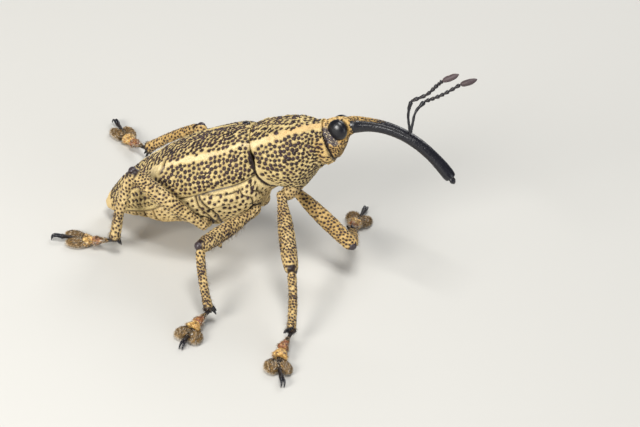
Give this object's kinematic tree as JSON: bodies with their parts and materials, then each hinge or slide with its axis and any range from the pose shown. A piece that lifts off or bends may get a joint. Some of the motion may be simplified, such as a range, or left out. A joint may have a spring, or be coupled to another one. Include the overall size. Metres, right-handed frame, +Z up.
{
  "type": "long-snouted weevil",
  "caption": "Long-snouted weevil standing with its fore body raised, in cream scales with dark grains, with a long curved black snout and elbowed feelers.",
  "frame": {"origin": "middle of the whole animal's footprint box, on the floor that the feet stand on", "axes": "+X from the tail end towards the head, +Y to the animal's left, +Z up"},
  "size_m": [0.0363, 0.0387, 0.0239],
  "materials": {
    "cream_scales": "matt cream-yellow scales with raised brown-black grains",
    "golden_scales": "matt golden scales with small dark grains and short pale hairs",
    "black_shell": "glossy black shell, finely pitted",
    "eye_black": "smooth glossy black eye",
    "foot_brown": "red-brown to black-brown, with a pale pile round the pads"
  },
  "bodies": {
    "root": {"abdomen": "cream_scales", "thorax": "cream_scales", "elytron_left": "cream_scales", "elytron_right": "cream_scales", "prothorax": "cream_scales", "scutellum": "black_shell", "head": "golden_scales", "eye_left": "eye_black", "eye_right": "eye_black", "rostrum": "black_shell", "antenna_left": "black_shell", "antenna_right": "black_shell", "coxa_front_left": "golden_scales", "coxa_front_right": "golden_scales", "coxa_mid_left": "golden_scales", "coxa_mid_right": "golden_scales", "coxa_hind_left": "golden_scales", "coxa_hind_right": "golden_scales", "femur_front_left": "golden_scales", "femur_front_right": "golden_scales", "femur_mid_left": "golden_scales", "femur_mid_right": "golden_scales", "femur_hind_left": "golden_scales", "femur_hind_right": "golden_scales", "tibia_front_left": "golden_scales", "tibia_front_right": "golden_scales", "tibia_mid_left": "golden_scales", "tibia_mid_right": "golden_scales", "tibia_hind_left": "golden_scales", "tibia_hind_right": "golden_scales", "tarsus_front_left": "foot_brown", "tarsus_front_right": "foot_brown", "tarsus_mid_left": "foot_brown", "tarsus_mid_right": "foot_brown", "tarsus_hind_left": "foot_brown", "tarsus_hind_right": "foot_brown"}
  },
  "joints": []
}
